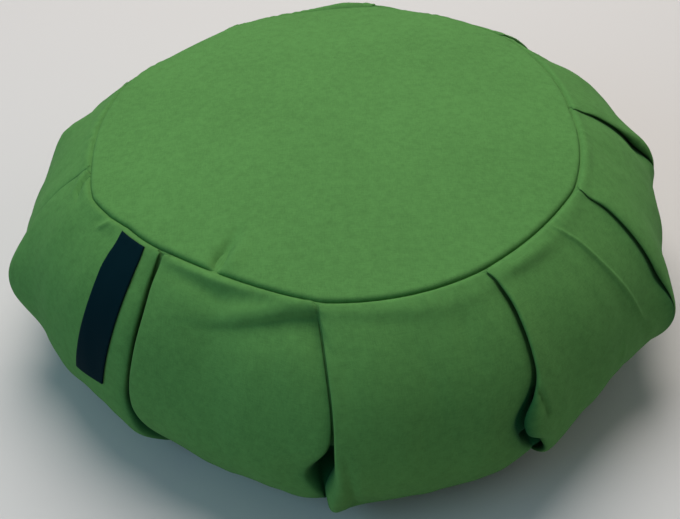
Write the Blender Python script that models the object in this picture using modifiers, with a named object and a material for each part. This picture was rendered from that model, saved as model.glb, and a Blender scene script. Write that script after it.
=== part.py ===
"""Zafu: a round, pleated meditation cushion, lying on its base.

The side band is one long strip laid in ten knife pleats that all lap the same way. It is sewn
to a round panel at the top and another at the base, and the whole is stuffed firm. Band and
filling are one solid here, with the two round panels and a sewn-on tape as pieces of their own.
Lengths in the tables and constants are millimetres, and the meshes are made in metres.
The origin is at the middle of the base, +Z is up, and the front of the cushion faces -Y.
Azimuths are degrees counter-clockwise from +X, seen from above.
"""

import math
from collections import namedtuple

import bmesh
import bpy
from mathutils import Vector

MM = 0.001
CLEARANCE = 0.3

# Cloth thickness of the round panels and the tape.
PANEL_THICKNESS = 2.0
TAPE_THICKNESS = 1.0

# Heights above the floor.
SEAM_HEIGHT = 114.0
BULGE_HEIGHT = 48.0
CROWN = 11.0
BASE_LIP_HEIGHT = 0.9

# The wall leaves the top seam this far below level, and reaches the base seam this far above it.
TOP_SLOPE = 32.0
BASE_SLOPE = 14.0
TOP_HANDLES = (24.0, 34.0)
BASE_HANDLES = (26.0, 26.0)
BASE_SEAM_SHARE = 0.98

# One row for each pleat: the azimuth of its fold edge at the top seam, how many degrees the edge
# has swung by the bulge and by the base, the radius of the top seam at the pleat and halfway to
# the next one, the same two radii at the bulge, how far the fold lifts and how deep the panel
# before it is hollowed where the fold gapes most, and the share of the wall above that place.
Pleat = namedtuple("Pleat", "azimuth swing turn seam seam_mid bulge bulge_mid lift hollow gape_at")
PLEATS = (
    Pleat(5.3, 2.0, 2.0, 118.0, 121.0, 165, 170, 4.0, 5.0, 0.36),
    Pleat(42.1, 0.0, 4.0, 124.0, 121.0, 157, 160, 2.5, 1.5, 0.51),
    Pleat(78.9, 1.0, 5.0, 123.5, 120.0, 163, 160, 2.0, 1.0, 0.55),
    Pleat(115.7, 0.0, 4.0, 122.0, 119.5, 161, 159, 2.5, 1.5, 0.50),
    Pleat(152.4, 1.0, 4.0, 124.5, 123.5, 157, 165, 2.5, 1.5, 0.52),
    Pleat(189.2, 0.5, 3.2, 124.0, 124.0, 168, 160, 3.5, 2.0, 0.48),
    Pleat(225.8, 2.0, 10.7, 117.0, 116.5, 154, 158, 0.5, 1.5, 0.61),
    Pleat(264.2, 3.0, 2.0, 123.5, 124.0, 170, 168, 3.2, 7.0, 0.77),
    Pleat(299.5, 1.5, 8.5, 123.0, 121.0, 168, 163, 4.2, 8.0, 0.76),
    Pleat(333.9, 1.2, 6.0, 122.0, 119.5, 169, 165, 3.5, 2.5, 0.55),
)

# The knife pleat in section, at the middle of the wall: how deep the slot behind the fold is,
# how wide it is at its inner end and its mouth, how far the panel before it dips towards it,
# the radius of the rolled fold, and how far along the panel the fold's rise dies away, less so
# much for each millimetre that the fold is lifted.
SLOT_DEPTH = 15.0
SLOT_END = 0.9
SLOT_MOUTH = 1.4
SLOT_SLOPE = 0.12
DIP = 3.0
FOLD_RADIUS = 2.1
RISE_LENGTH = 44.0
RISE_SHORTENED = 5.0
RISE_SHARES = (0.22, 0.45, 0.7)
FOLD_ANGLES = (-80, -145, 150, 85)
DIP_SHARES = (0.12, 0.72)
DIP_LENGTHS = (22.0, 8.5)
GAPE_SPREAD = 0.20
GAPE_DEEPENS = 0.8

# The stitching presses the pleats flat over these shares of the wall, next to each seam, and
# there the cloth that is folded away inside the slot takes this much of the seam at each point.
TOP_FLATTENED = 0.14
BASE_FLATTENED = 0.12
SEAM_PITCH = 1.2

# Creases in the band: where each one starts and ends, how deep it is near its start, and how far
# its sides reach. It is deepest after this share of its length, and from there it dies away.
Crease = namedtuple("Crease", "azimuth down end_azimuth end_down depth reach")
CREASES = (Crease(267.0, 0.055, 238.0, 0.175, 3.5, 7.0),)
CREASE_PEAK = 0.15
WALL_LENGTH = 190.0

# Rows of the wall, as shares of the way from the top seam to the base seam, the row where it is
# widest, and how many steps a panel takes between two pleats.
WALL_ROWS = (
    0, 0.025, 0.06, 0.105, 0.16, 0.22, 0.29, 0.36, 0.43,
    0.50, 0.57, 0.64, 0.71, 0.78, 0.85, 0.91, 0.96, 1,
)  # fmt: skip
BULGE_ROW = 0.5
PANEL_STEPS = 5

# The round panels: rings as shares of the seam radius, and the roll of the edge into the seam.
PANEL_RINGS = (0.30, 0.60, 0.82, 0.93)
PANEL_SEGMENTS = 6
EDGE_ROLL = 1.6
EDGE_POWER = 24
RIM_INSET = 1.3
UNDER_GAP = 0.36
MEAN_SEAM = 121.0
BASE_RING = 0.5

# The tape runs down the panel before this pleat: the azimuths of its middle at its top end,
# halfway and at its lower end, the shares of the wall at its two ends, its width and its own
# clearance from the cloth.
TAPE_PLEAT = 6
TAPE_AZIMUTHS = (216.0, 218.9, 217.3)
TAPE_TOP = 0.025
TAPE_ROWS = [down for down in WALL_ROWS if TAPE_TOP <= down <= BULGE_ROW]
TAPE_WIDTH = 18.8
TAPE_LIFT = 0.4

COTTON_GREEN = (0.085, 0.225, 0.062, 1)
COTTON_ROUGHNESS = 0.92
TAPE_NAVY = (0.004, 0.010, 0.022, 1)
TAPE_ROUGHNESS = 0.6
SHARP_ANGLE = 50


def smoothstep(share):
    share = min(max(share, 0.0), 1.0)
    return share * share * (3 - 2 * share)


def lerp(start, end, share):
    return start + (end - start) * share


def pleat_row(index):
    return PLEATS[index % len(PLEATS)]


def fold_azimuth(index, down):
    """The azimuth of a pleat's fold edge, a share `down` of the way to the base seam."""
    pleat = pleat_row(index)
    turns = 360 * (index // len(PLEATS))
    if down < BULGE_ROW:
        swing = pleat.swing * smoothstep(down / BULGE_ROW)
    else:
        swing = lerp(pleat.swing, pleat.turn, smoothstep((down - BULGE_ROW) / (1 - BULGE_ROW)))
    return pleat.azimuth + turns + swing


def along_panel(start, middle, end, share):
    """A value that runs from one pleat to the next and bows to its own value between them."""
    bow = middle - (start + end) / 2
    return lerp(start, end, share) + bow * 4 * share * (1 - share)


def bezier(points, share):
    """The point and the direction of a cubic curve."""
    a, b, c, d = (Vector(point) for point in points)
    rest = 1 - share
    point = rest**3 * a + 3 * rest**2 * share * b + 3 * rest * share**2 * c + share**3 * d
    direction = rest**2 * (b - a) + 2 * rest * share * (c - b) + share**2 * (d - c)
    return point, direction.normalized()


def wall_profile(seam, bulge, down):
    """Radius, height and outward direction of the plain wall, before its pleats."""
    top_slope = math.radians(TOP_SLOPE)
    base_slope = math.radians(BASE_SLOPE)
    base = seam * BASE_SEAM_SHARE
    if down <= BULGE_ROW:
        curve = (
            (seam, SEAM_HEIGHT),
            (
                seam + TOP_HANDLES[0] * math.cos(top_slope),
                SEAM_HEIGHT - TOP_HANDLES[0] * math.sin(top_slope),
            ),
            (bulge, BULGE_HEIGHT + TOP_HANDLES[1]),
            (bulge, BULGE_HEIGHT),
        )
        share = down / BULGE_ROW
    else:
        curve = (
            (bulge, BULGE_HEIGHT),
            (bulge, BULGE_HEIGHT - BASE_HANDLES[0]),
            (
                base + BASE_HANDLES[1] * math.cos(base_slope),
                BASE_LIP_HEIGHT + BASE_HANDLES[1] * math.sin(base_slope),
            ),
            (base, BASE_LIP_HEIGHT),
        )
        share = (down - BULGE_ROW) / (1 - BULGE_ROW)
    point, direction = bezier(curve, share)
    return point, Vector((-direction.y, direction.x))


def creased(azimuth, down):
    """How far the creases draw the wall in at this place."""
    depth = 0
    for crease in CREASES:
        along = (azimuth % 360 - crease.azimuth) / (crease.end_azimuth - crease.azimuth)
        across = (down - lerp(crease.down, crease.end_down, along)) * WALL_LENGTH / crease.reach
        fading = smoothstep(along / CREASE_PEAK) * smoothstep((1 - along) / (1 - CREASE_PEAK))
        depth += crease.depth * fading * math.exp(-(across**2))
    return depth


def wall_point(azimuth, index, down, rise):
    """A point of the wall on the panel after pleat `index`, `rise` outside the plain wall."""
    start = fold_azimuth(index, down)
    end = fold_azimuth(index + 1, down)
    share = (azimuth - start) / (end - start)
    here = pleat_row(index)
    after = pleat_row(index + 1)
    seam = along_panel(here.seam, here.seam_mid, after.seam, share)
    bulge = along_panel(here.bulge, here.bulge_mid, after.bulge, share)
    point, outward = wall_profile(seam, bulge, down)
    point = point + (rise - creased(azimuth, down)) * outward
    angle = math.radians(azimuth)
    return Vector((point.x * math.cos(angle), point.x * math.sin(angle), point.y))


def pressed(down):
    """0 where a seam holds the pleats flat, 1 where they stand free."""
    return smoothstep(down / TOP_FLATTENED) * smoothstep((1 - down) / BASE_FLATTENED)


def gaping(index, down):
    """The lift and the hollow of a pleat at this row."""
    pleat = pleat_row(index)
    near = math.exp(-(((down - pleat.gape_at) / GAPE_SPREAD) ** 2))
    return near * pleat.lift, near * pleat.hollow


def pleat_section(index, down):
    """One pleat in section: pairs of a distance past its fold edge and a rise, walking around
    the cushion: down the dip, in along the slot's floor, back under its roof, round the fold
    and out along the panel."""
    lift, hollow = gaping(index, down)
    dip = DIP + hollow
    mouth = SLOT_MOUTH + lift + hollow
    depth = SLOT_DEPTH + GAPE_DEEPENS * (lift + hollow)
    floor_end = -dip - SLOT_SLOPE * depth
    points = [(-length, -share * dip) for length, share in zip(DIP_LENGTHS, DIP_SHARES)]
    points += [(0, -dip), (depth / 2, (floor_end - dip) / 2), (depth, floor_end)]
    points += [(depth, floor_end + SLOT_END), (depth / 2, (floor_end + mouth - dip) / 2)]
    for angle in FOLD_ANGLES:
        turn = math.radians(angle)
        across = FOLD_RADIUS * (1 + math.cos(turn))
        points.append((across, mouth - dip + FOLD_RADIUS * (1 + math.sin(turn))))
    rise = mouth - dip + 2 * FOLD_RADIUS
    length = RISE_LENGTH - RISE_SHORTENED * lift
    points += [(share * length, rise * (1 - smoothstep(share))) for share in RISE_SHARES]
    return points


def seam_spread(section):
    """Where the points of a pleat's section lie along a seam that presses them flat."""
    slot = range(len(DIP_LENGTHS), len(section) - len(RISE_SHARES))
    middle = (slot[0] + slot[-1]) / 2
    return [
        (place - middle) * SEAM_PITCH if place in slot else distance
        for place, (distance, rise) in enumerate(section)
    ]


def wall_ring(down):
    """The closed outline of the wall at one row, through all ten pleats and panels."""
    ring = []
    free = pressed(down)
    for index in range(len(PLEATS)):
        fold = fold_azimuth(index, down)
        section = pleat_section(index, down)
        degrees_per_mm = math.degrees(1 / wall_point(fold, index, down, 0).to_2d().length)
        for flat, (distance, rise) in zip(seam_spread(section), section):
            azimuth = fold + lerp(flat, distance, free) * degrees_per_mm
            panel = index if azimuth >= fold else index - 1
            ring.append(wall_point(azimuth, panel, down, free * rise))
        following = fold_azimuth(index + 1, down) - DIP_LENGTHS[0] * degrees_per_mm
        for step in range(1, PANEL_STEPS):
            between = lerp(azimuth, following, step / PANEL_STEPS)
            ring.append(wall_point(between, index, down, 0))
    return ring


def panel_height(share):
    """Height of the top panel's outer face, at a share of its radius."""
    return SEAM_HEIGHT + CROWN * (1 - share**2) - EDGE_ROLL * share**EDGE_POWER


def under_panel(share):
    """Height of the filling's face below the top panel, at a share of its radius."""
    slope = (2 * CROWN * share + EDGE_POWER * EDGE_ROLL * share ** (EDGE_POWER - 1)) / MEAN_SEAM
    return panel_height(share) - (PANEL_THICKNESS + UNDER_GAP) * math.hypot(1, slope)


def polar(azimuth, radius, height):
    angle = math.radians(azimuth)
    return Vector((radius * math.cos(angle), radius * math.sin(angle), height))


def azimuth_of(point):
    return math.degrees(math.atan2(point.y, point.x)) % 360


def loft(mesh, rings):
    """Skins rings that have the same number of points, which a bridge can't match in order."""
    rows = [[mesh.verts.new(point * MM) for point in ring] for ring in rings]
    for lower, upper in zip(rows, rows[1:]):
        for place in range(len(lower)):
            after = (place + 1) % len(lower)
            mesh.faces.new((lower[place], lower[after], upper[after], upper[place]))
    return rows


def close_to_pole(mesh, row, pole, outward):
    """Closes a ring with a fan of triangles."""
    middle = mesh.verts.new(pole * MM)
    for place in range(len(row)):
        pair = (row[place], row[(place + 1) % len(row)])
        mesh.faces.new((*pair, middle) if outward else (*reversed(pair), middle))


def new_object(name, mesh, colour, roughness, collection):
    """Turns a bmesh into a named object with its own material."""
    data = bpy.data.meshes.new(name)
    mesh.to_mesh(data)
    mesh.free()
    data.shade_smooth()
    data.set_sharp_from_angle(angle=math.radians(SHARP_ANGLE))
    material = bpy.data.materials.new(name)
    material.use_nodes = True
    shader = material.node_tree.nodes["Principled BSDF"]
    shader.inputs["Base Color"].default_value = colour
    shader.inputs["Roughness"].default_value = roughness
    data.materials.append(material)
    part = bpy.data.objects.new(name, data)
    collection.objects.link(part)
    return part


def add_thickness(part, thickness, side):
    """Gives a sheet its thickness, outwards for a side of 1 and inwards for -1."""
    solid = part.modifiers.new("cloth thickness", "SOLIDIFY")
    solid.thickness = thickness * MM
    solid.offset = side


def make_body(collection):
    """The pleated band with its filling: one solid, with a bed for each round panel."""
    mesh = bmesh.new()
    wall = [wall_ring(down) for down in reversed(WALL_ROWS)]
    base, top = wall[0], wall[-1]
    rim = RIM_INSET - CLEARANCE
    bed = [polar(azimuth_of(p), p.to_2d().length - rim, PANEL_THICKNESS + CLEARANCE) for p in base]
    rings = [bed] + wall
    rings.append([polar(azimuth_of(p), p.to_2d().length - rim, under_panel(1)) for p in top])
    for share in reversed(PANEL_RINGS):
        rings.append(
            [polar(azimuth_of(p), share * p.to_2d().length, under_panel(share)) for p in top]
        )
    rows = loft(mesh, rings)
    close_to_pole(mesh, rows[0], Vector((0, 0, PANEL_THICKNESS + CLEARANCE)), False)
    close_to_pole(mesh, rows[-1], Vector((0, 0, under_panel(0))), True)
    return new_object("cushion_body", mesh, COTTON_GREEN, COTTON_ROUGHNESS, collection)


def panel_outline(down):
    """Azimuths and radii of a round panel's seam: each pleat, and even steps between pleats."""
    for index in range(len(PLEATS)):
        start, end = fold_azimuth(index, down), fold_azimuth(index + 1, down)
        for step in range(PANEL_SEGMENTS):
            azimuth = lerp(start, end, step / PANEL_SEGMENTS)
            yield azimuth, wall_point(azimuth, index, down, 0).to_2d().length


def make_top_panel(collection):
    """The round top: a crowned disc of cloth whose edge rolls down into the seam."""
    mesh = bmesh.new()
    outline = list(panel_outline(0))
    rings = [[polar(a, radius - RIM_INSET, panel_height(1)) for a, radius in outline]]
    for share in reversed(PANEL_RINGS):
        rings.append([polar(a, share * radius, panel_height(share)) for a, radius in outline])
    rows = loft(mesh, rings)
    close_to_pole(mesh, rows[-1], Vector((0, 0, panel_height(0))), True)
    part = new_object("top_panel", mesh, COTTON_GREEN, COTTON_ROUGHNESS, collection)
    add_thickness(part, PANEL_THICKNESS, -1)


def make_base_panel(collection):
    """The round base: a flat disc of cloth, which the cushion rests on."""
    mesh = bmesh.new()
    outline = [polar(azimuth, radius - RIM_INSET, 0) for azimuth, radius in panel_outline(1)]
    rows = loft(mesh, [[point * BASE_RING for point in outline], outline])
    close_to_pole(mesh, rows[0], Vector((0, 0, 0)), False)
    part = new_object("base_panel", mesh, COTTON_GREEN, COTTON_ROUGHNESS, collection)
    add_thickness(part, PANEL_THICKNESS, -1)


def tape_row(down):
    """The tape's back across its width: it follows the dip towards the pleat beside it."""
    fold = fold_azimuth(TAPE_PLEAT, down)
    middle = along_panel(*TAPE_AZIMUTHS, (down - TAPE_TOP) / (BULGE_ROW - TAPE_TOP))
    mm_per_degree = math.radians(wall_point(middle, TAPE_PLEAT - 1, down, 0).to_2d().length)
    dip = (DIP + gaping(TAPE_PLEAT, down)[1]) * pressed(down)
    far, near = DIP_LENGTHS
    row = []
    for offset in (-TAPE_WIDTH / 2, 0, TAPE_WIDTH / 2):
        azimuth = middle + offset / mm_per_degree
        way = (azimuth - fold) * mm_per_degree
        share = lerp(*DIP_SHARES, (far + way) / (far - near))
        row.append(wall_point(azimuth, TAPE_PLEAT - 1, down, TAPE_LIFT - max(share, 0) * dip))
    return row


def make_tape(collection):
    """The plain tape sewn down the wall, beside one pleat."""
    mesh = bmesh.new()
    rows = [[mesh.verts.new(point * MM) for point in tape_row(down)] for down in TAPE_ROWS]
    for upper, lower in zip(rows, rows[1:]):
        for place in range(len(upper) - 1):
            mesh.faces.new((lower[place], lower[place + 1], upper[place + 1], upper[place]))
    part = new_object("side_tape", mesh, TAPE_NAVY, TAPE_ROUGHNESS, collection)
    add_thickness(part, TAPE_THICKNESS, 1)


def main():
    for thing in list(bpy.data.objects):
        bpy.data.objects.remove(thing)
    collection = bpy.data.collections.new("zafu")
    bpy.context.scene.collection.children.link(collection)
    make_body(collection)
    make_top_panel(collection)
    make_base_panel(collection)
    make_tape(collection)


if __name__ == "__main__":
    main()
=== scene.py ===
"""Zafu: a round, knife-pleated meditation cushion in green cotton, on a plain studio floor.

The side band, the two round panels and the sewn-on tape are made as fine cloth surfaces around
the plain solids of the frame. The tables and the shape functions work in millimetres, and the
meshes are in metres. Azimuths are degrees counter-clockwise from +X, seen from above, the front
of the cushion faces -Y, and `down` is a share of the way down the side band, from 0 at the top
seam to 1 at the base seam.
"""

import math
from collections import namedtuple

import bmesh
import bpy
import numpy as np
from bpy.props import FloatProperty, FloatVectorProperty, PointerProperty
from mathutils import Matrix, Vector


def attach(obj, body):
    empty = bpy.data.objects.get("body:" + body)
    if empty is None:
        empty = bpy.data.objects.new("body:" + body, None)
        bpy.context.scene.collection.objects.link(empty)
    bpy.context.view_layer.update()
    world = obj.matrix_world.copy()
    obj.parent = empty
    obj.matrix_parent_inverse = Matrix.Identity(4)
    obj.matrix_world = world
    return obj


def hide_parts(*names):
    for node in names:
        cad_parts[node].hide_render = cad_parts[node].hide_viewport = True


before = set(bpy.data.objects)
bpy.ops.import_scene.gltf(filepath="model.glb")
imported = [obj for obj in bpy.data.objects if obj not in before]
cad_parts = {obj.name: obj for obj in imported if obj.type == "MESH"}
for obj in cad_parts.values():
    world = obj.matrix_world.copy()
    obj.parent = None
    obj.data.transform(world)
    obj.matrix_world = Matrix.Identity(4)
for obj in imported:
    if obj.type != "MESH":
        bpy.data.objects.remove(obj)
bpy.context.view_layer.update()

bl_info = {
    "name": "Pleated zafu",
    "version": (1, 0, 0),
    "blender": (4, 5, 0),
    "location": "3D View > Sidebar > Zafu",
    "description": "Builds a knife-pleated meditation cushion and its studio stage",
    "category": "Add Mesh",
}

MM = 0.001
PHOTO_WIDTH = 680

# Heights above the floor of the top seam, the widest part and the base seam, and how far the
# middle of the top stands over its seam.
SEAM_HEIGHT = 114
BULGE_HEIGHT = 48
BASE_LIP_HEIGHT = 0.9
CROWN = 11

# The wall leaves the top seam this many degrees below level, and reaches the base seam this many
# above it. In section it is two curves with these handles. The base seam has this share of the top
# one's size, the curves meet at the bulge this share of the way down, and the wall is so long.
TOP_SLOPE = 32
BASE_SLOPE = 14
TOP_HANDLES = (24, 34)
BASE_HANDLES = (26, 26)
BASE_SEAM_SHARE = 0.98
BULGE_ROW = 0.5
WALL_LENGTH = 190

# One row for each pleat: the azimuth of its fold edge at the top seam, the radius of the top seam
# at the pleat and halfway to the next one, the same two radii at the bulge, and how many degrees
# the fold edge has moved on at each of the fold rows, which are shares of the wall.
FOLD_ROWS = (0, 0.05, 0.1, 0.2, 0.3, 0.36, 0.42, 0.5, 0.6, 0.75, 1)
Pleat = namedtuple("Pleat", "azimuth seam seam_mid bulge bulge_mid path")
PLEATS = (
    Pleat(5.2, 118, 121, 165, 170, (0, 0.3, 1.2, 1.7, 1.8, 1.9, 2, 2.2, 2.2, 2.1, 2)),
    Pleat(42.1, 124, 122.6, 157, 160, (0, 0, 0.2, 0.1, 0, 0, 0, 0, 0.6, 2, 4)),
    Pleat(78.9, 123.5, 120, 163, 160, (0, 0.2, 0.4, 0.5, 0.8, 0.9, 1, 1, 1.8, 3.2, 5)),
    Pleat(115.7, 122, 119.5, 161, 159, (0, 0, 0.1, 0, 0, 0, 0, 0, 0.6, 2, 4)),
    Pleat(152.4, 124.5, 123.5, 157, 165, (0, 0.2, 0.4, 0.4, 0.7, 0.9, 1, 1, 1.5, 2.6, 4)),
    Pleat(188.8, 124, 124, 168, 160, (0, 0, 0, 0.2, 0.4, 0.5, 0.6, 0.8, 1.2, 2, 3.2)),
    Pleat(226.2, 117, 116.5, 154, 158, (0, 0.4, 0.9, 2, 2.2, 2.1, 1.8, 1.7, 3.8, 7.4, 9.5)),
    Pleat(264.1, 123.5, 124, 170, 168, (0, 0.4, 1, 2, 2.7, 2.8, 2.7, 2.5, 1.9, 1.5, 2)),
    Pleat(299.2, 123, 121, 168, 163, (0, 1.2, 1.8, 1.8, 1.4, 1.3, 1.6, 2.2, 2.6, 4, 8.8)),
    Pleat(333.9, 122, 119.5, 169, 165, (0, -0.1, 0.4, 0.1, -0.3, -0.4, 0.1, 0.7, 1.6, 3.4, 6)),
)

# How each fold stands: how far over the wall, how far under it the slot's floor lies, how high
# the slot's mouth is, and how far the rim of the panel before it draws back from its edge. Then
# how much further it lifts, where down the wall it lifts most, how far that spreads and how many
# millimetres of the panel rise with it. Then where the pleat starts to open and where it is fully
# open, and there the radius of its rolled edge and the draw of the rim. Last, how far the slot
# runs back under that rim, and how far the panel sags towards it, shut and open.
Fold = namedtuple(
    "Fold",
    "stand floor gap draw lift lift_at lift_spread run open_from open_full roll open_draw back"
    " sag open_sag",
    defaults=(0, 0.5, 0.5),
)
FOLDS = (
    Fold(1.6, 1, 0.7, -0.8, 6, 0.375, 0.11, 18, 0, 0.2, 4.2, -0.8),
    Fold(2, 1.3, 1.2, -0.8, 2.3, 0.51, 0.2, 24, 0.3, 0.6, 1.8, 1),
    Fold(2, 1.3, 1.2, -0.8, 1.8, 0.55, 0.2, 24, 0.3, 0.6, 1.8, 1),
    Fold(2, 1.3, 1.2, -0.8, 2.3, 0.5, 0.2, 24, 0.3, 0.6, 2, 1.5),
    Fold(2, 1.3, 1.2, -0.8, 2.3, 0.52, 0.2, 24, 0.3, 0.6, 1.8, 1),
    Fold(1.1, 3.4, 2, 1.5, 7, 0.47, 0.11, 30, 0.12, 0.4, 3, 0),
    Fold(0.5, 7.5, 4, 2.5, -2.4, 0.68, 0.13, 16, 0.4, 0.58, 1.2, 6, 3, 1.4, 1.4),
    Fold(1.4, 3, 2.2, 0.8, 1.7, 0.68, 0.13, 4.5, 0.38, 0.52, 2.3, 2.2, 1.5, 2.1, 2.8),
    Fold(1.6, 3, 2, 0.5, 1.2, 0.62, 0.16, 26, 0.3, 0.4, 2.5, 2.2, 0.5, 1.7, 1.7),
    Fold(1.8, 1, 0.7, -0.8, 4.6, 0.5, 0.14, 18, 0.02, 0.3, 4.6, -0.6),
)

# Where the folds gape, at the front and the right: how much further the rim draws back and how
# much more gently it turns in, where down the wall, and how far that spreads up and down. Then
# how much deeper the slot is and how much wider its mouth, where, and how far that spreads. Last,
# how far the fold's inner flank leans out over the slot, or with a minus back under the fold,
# where, and how far that spreads.
Pocket = namedtuple(
    "Pocket",
    "part turn at above below depth mouth deep_at deep_spread flank flank_at flank_spread",
    defaults=(0, 0, 0.5, 0.1, 0.1, 0, 0, 0.5, 0.1, 0, 0.5, 0.1),
)
POCKETS = {
    0: Pocket(flank=-2, flank_at=0.3, flank_spread=0.16),
    6: Pocket(2.2, 0, 0.73, 0.13, 0.13, 4, 2, 0.74, 0.13),
    7: Pocket(6, 4, 0.51, 0.075, 0.09, 20, 6, 0.505, 0.085, 5, 0.6, 0.07),
    8: Pocket(13, 0.8, 0.455, 0.075, 0.13, 18, 8, 0.555, 0.035, 15, 0.46, 0.09),
    9: Pocket(flank=-2, flank_at=0.36, flank_spread=0.2),
}

# The folds that close again: the shares of the wall over which the panel before the fold rises
# to its edge. The others would only do so past the base seam.
CLOSING = {0: (0.3, 0.44), 9: (0.355, 0.47)}
STAYS_OPEN = (2, 3)

# The panel before a fold sags at these distances before its rim, by these shares of the sag, and
# turns in this gently there, shut and open. Where it starts to turn it has sunk by this share of
# its drop, and at most so far, and at its front by the second share. Its foot is further in by
# this share of the turn.
RIM_STEPS = ((16.4, 0.08), (7.9, 0.35), (3, 0.72), (1, 0.95))
RIM_TURN = (0.4, 0.9)
SHOULDER_SHARE = 0.1
SHOULDER_MOST = 0.3
FRONT_SHARE = 0.4
RIM_FOOT = 0.5

# The slot under a fold: its depth, and how far it goes past the fold's rolled edge at least, its
# slope, and the height of its inner end. The floor has a corner at each of these shares of its
# length, and the roof has one this share of the way out and up. After the rim's steps, this many
# points lead to the slot's inner end.
SLOT_DEPTH = 15
SLOT_PAST_ROLL = 6
SLOT_SLOPE = 0.08
SLOT_END = 0.7
FLOOR_STEPS = (0.35, 0.7)
ROOF_CORNER = (0.5, 0.6)
POINTS_TO_INNER_END = 6

# The fold over it: the least radius of its edge, the angles of the edge's points, and where the
# next points lie along the panel. Its thickness runs out over this length of the panel. A leaning
# flank stays this far behind the rim and bulges, and the slot is this deep beside it.
FOLD_RADIUS = 1
FOLD_ANGLES = (-70, -115, 180, 115, 70)
RISE_STEPS = (2.5, 6, 10.5, 16.5, 25, 36)
STAND_RUN = 34
FLANK_CLEARANCE = 0.5
FLANK_BULGE = 0.2
FLANK_FLOOR = 4.5

# Where a fold closes again it keeps a small step and a short, sloping slot, whose inner end is
# lower by this share.
CLOSED_STEP = 0.8
CLOSED_DEPTH = 4
CLOSED_SLOPE = 0.35
CLOSED_END = 0.8

# Painted light and shade on the cloth, from 1, a painted highlight on the outside of a fold, to -1,
# painted shade inside a slot: over the rim, and round the edge of the fold. Only this share of it
# is left in a slot that is nearly shut, and this one at the top seam, from where it grows over the
# third share.
RIM_PAINTED_SHADE = (0, 0, -0.12, -0.35, -0.55)
FOLD_PAINTED_LIGHT = (-1, -1, -0.6, 0.6, 0.2)
SHUT_SHADE = 0.5
SEAM_SHADE = 0.4
SHADE_GROWS = 0.2

# The stitching presses the pleats flat over these shares of the wall at each seam, and the folds
# stand up to their full height over the third share, from so much of it at the top seam. Where
# they are flat, the cloth inside a slot takes this much of the seam at each point.
TOP_FLATTENED = 0.011
BASE_FLATTENED = 0.12
STAND_UP = 0.13
SEAM_STAND = 0.3
SEAM_PITCH = 1.2

# A corner's azimuth, rise and shade, once round.
FULL_TURN = (360, 0, 0)

# How fine the band is: steps along a panel, points for each step, rows down the wall, and how
# much closer the rows lie at the seams than halfway between them.
PANEL_STEPS = 22
FINENESS = 2
WALL_ROWS = 106
ROWS_GATHER = 0.45

# The band turns in to each seam over the first radius, and the edge of each round panel over the
# second, of which the pressed base keeps a share. The cells of a panel lie closer at its edge. It
# ends this far inside the seam at these azimuths.
SEAM_ROLL = 2.8
PANEL_ROLL = 2.1
BASE_ROLL_SHARE = 0.5
PANEL_THICKNESS = 1.2
PANEL_CELLS = 160
CELLS_GATHER = 0.62
PANEL_GAP_AZIMUTHS = (0, 60, 150, 195, 215, 325, 345, 360)
PANEL_GAPS = (0.6, 0.35, 0.35, 0.6, 1.2, 1.2, 0.7, 0.6)

# The filling closes the band this far inside the two panels, in rings of these shares of the
# seams' radii: from the middle of the top out, and from the base seam in.
UNDER_GAP = 2.6
TOP_RINGS = (0, 0.6, 0.97)
BASE_RINGS = (0.985, 0)

# Each pleat's cloth is this much further along the strip than the last one's.
PLEAT_PITCH = 160

# Creases in the band: the azimuths and shares of the wall that each passes through, how deep its
# line is and how wide, on the side of its roll and on the far side. Then the roll of cloth beside
# it: its height, how far it is from the line, and its breadth. A ridge has a negative depth. Last,
# the shares of its length over which its two ends fade. It starts a little stronger than nothing,
# and runs out over a short length past its ends.
MM_PER_DEGREE = 2.5
CREASE_START = 0.3
CREASE_END = 2.5
Crease = namedtuple("Crease", "path depth width far roll aside breadth fade_in fade_out")
CREASES = (
    Crease(((264.4, 0.041), (258.8, 0.067), (253.2, 0.103), (248, 0.136), (243, 0.165),
            (231, 0.2)), 3.7, 1.7, 15, 1.3, 7, 4, 0.03, 1.05),
    Crease(((320, 0.02), (322.2, 0.095), (323.8, 0.2), (325.8, 0.32), (327.5, 0.425),
            (330.5, 0.505), (333.5, 0.58)), -1.2, 1.1, 1.1, -0.4, 6, 5, 0.3, 0.06),
    Crease(((322.8, 0.45), (322.4, 0.56)), -0.6, 1.8, 1.8, 0, 5, 5, 0.5, 0.5),
    Crease(((190.5, 0.005), (192.7, 0.025), (196.4, 0.066)), 3.4, 1.3, 1.3, 1, 3.5, 2.6, 0.3, 0.4),
    Crease(((209.4, 0.005), (208.6, 0.03), (207.4, 0.065)), -1.1, 1.8, 1.8, -0.8, 5, 3.5, 0.3, 0.4),
    Crease(((300, 0.37), (300.7, 0.43), (301.5, 0.475)), 2.4, 0.9, 0.9, 0.4, 4, 3, 0.1, 0.4),
    Crease(((268.8, 0.42), (269.2, 0.54), (269.6, 0.74)), 2.2, 1.7, 1.7, 0, 5, 5, 0.6, 0.15),
)

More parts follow.
